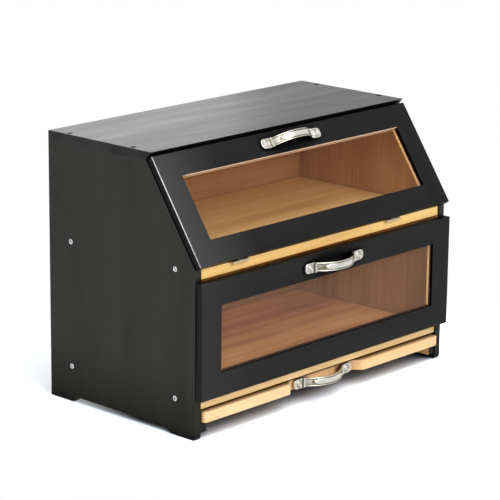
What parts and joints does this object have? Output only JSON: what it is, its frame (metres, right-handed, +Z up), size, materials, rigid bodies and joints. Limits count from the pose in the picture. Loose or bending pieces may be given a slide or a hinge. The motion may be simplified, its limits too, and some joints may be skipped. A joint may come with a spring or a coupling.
{
  "type": "bread box",
  "caption": "Tiered bread box with a sloped upper door, an upright lower door, clear panes, bow handles and a slide-out cutting board.",
  "frame": {"origin": "on the table, under the middle of the whole box with its handles", "axes": "+X to the right seen from the front, +Y towards the back, so the doors face -Y, +Z up"},
  "size_m": [0.4, 0.2428, 0.2915],
  "materials": {
    "black_bamboo": "bamboo stained black under satin lacquer",
    "bamboo": "natural bamboo strips, satin lacquer",
    "acrylic": "clear acrylic with a faint smoky tint",
    "nickel": "cast, satin nickel plated",
    "steel": "zinc plated steel",
    "black_steel": "black oxide on steel",
    "magnet": "nickel plated magnet"
  },
  "bodies": {
    "carcass": {"side_panel_left": "black_bamboo", "side_panel_right": "black_bamboo", "top_board": "black_bamboo", "back_panel": "bamboo", "middle_shelf": "bamboo", "bottom_board": "bamboo", "runner_left": "bamboo", "runner_right": "bamboo", "side_screw_left_shelf_rear": "steel", "side_screw_left_shelf_front": "steel", "side_screw_left_bottom_rear": "steel", "side_screw_left_bottom_front": "steel", "side_screw_right_shelf_rear": "steel", "side_screw_right_shelf_front": "steel", "side_screw_right_bottom_rear": "steel", "side_screw_right_bottom_front": "steel", "top_screw_left_rear": "black_steel", "top_screw_left_front": "black_steel", "top_screw_right_rear": "black_steel", "top_screw_right_front": "black_steel", "upper_hinge_left_fixed_leaf": "steel", "upper_hinge_left_pin": "steel", "upper_hinge_right_fixed_leaf": "steel", "upper_hinge_right_pin": "steel", "lower_hinge_left_fixed_leaf": "steel", "lower_hinge_left_pin": "steel", "lower_hinge_right_fixed_leaf": "steel", "lower_hinge_right_pin": "steel", "upper_magnet_left": "magnet", "upper_magnet_right": "magnet", "lower_magnet_left": "magnet", "lower_magnet_right": "magnet"},
    "upper_door": {"upper_door_stile_left": "black_bamboo", "upper_door_stile_right": "black_bamboo", "upper_door_rail_top": "black_bamboo", "upper_door_rail_bottom": "black_bamboo", "upper_door_pane": "acrylic", "upper_door_handle": "nickel", "upper_door_handle_screw_left": "steel", "upper_door_handle_screw_right": "steel", "upper_hinge_left_door_leaf": "steel", "upper_hinge_right_door_leaf": "steel", "upper_door_strike_left": "steel", "upper_door_strike_right": "steel"},
    "lower_door": {"lower_door_stile_left": "black_bamboo", "lower_door_stile_right": "black_bamboo", "lower_door_rail_top": "black_bamboo", "lower_door_rail_bottom": "black_bamboo", "lower_door_pane": "acrylic", "lower_door_handle": "nickel", "lower_door_handle_screw_left": "steel", "lower_door_handle_screw_right": "steel", "lower_hinge_left_door_leaf": "steel", "lower_hinge_right_door_leaf": "steel", "lower_door_strike_left": "steel", "lower_door_strike_right": "steel"},
    "sliding_board": {"cutting_board": "bamboo", "cutting_board_handle": "nickel", "cutting_board_handle_screw_left": "steel", "cutting_board_handle_screw_right": "steel"}
  },
  "joints": [
    {"name": "upper_door_hinge", "type": "hinge", "parent": "carcass", "child": "upper_door", "pos_m": [0, -0.0964, 0.1785], "axis": [1, 0, 0], "range_deg": [0, 124]},
    {"name": "lower_door_hinge", "type": "hinge", "parent": "carcass", "child": "lower_door", "pos_m": [0, -0.0965, 0.0441], "axis": [1, 0, 0], "range_deg": [0, 90]},
    {"name": "cutting_board_slide", "type": "slide", "parent": "carcass", "child": "sliding_board", "axis": [0, -1, 0], "range_m": [0, 0.34]}
  ]
}
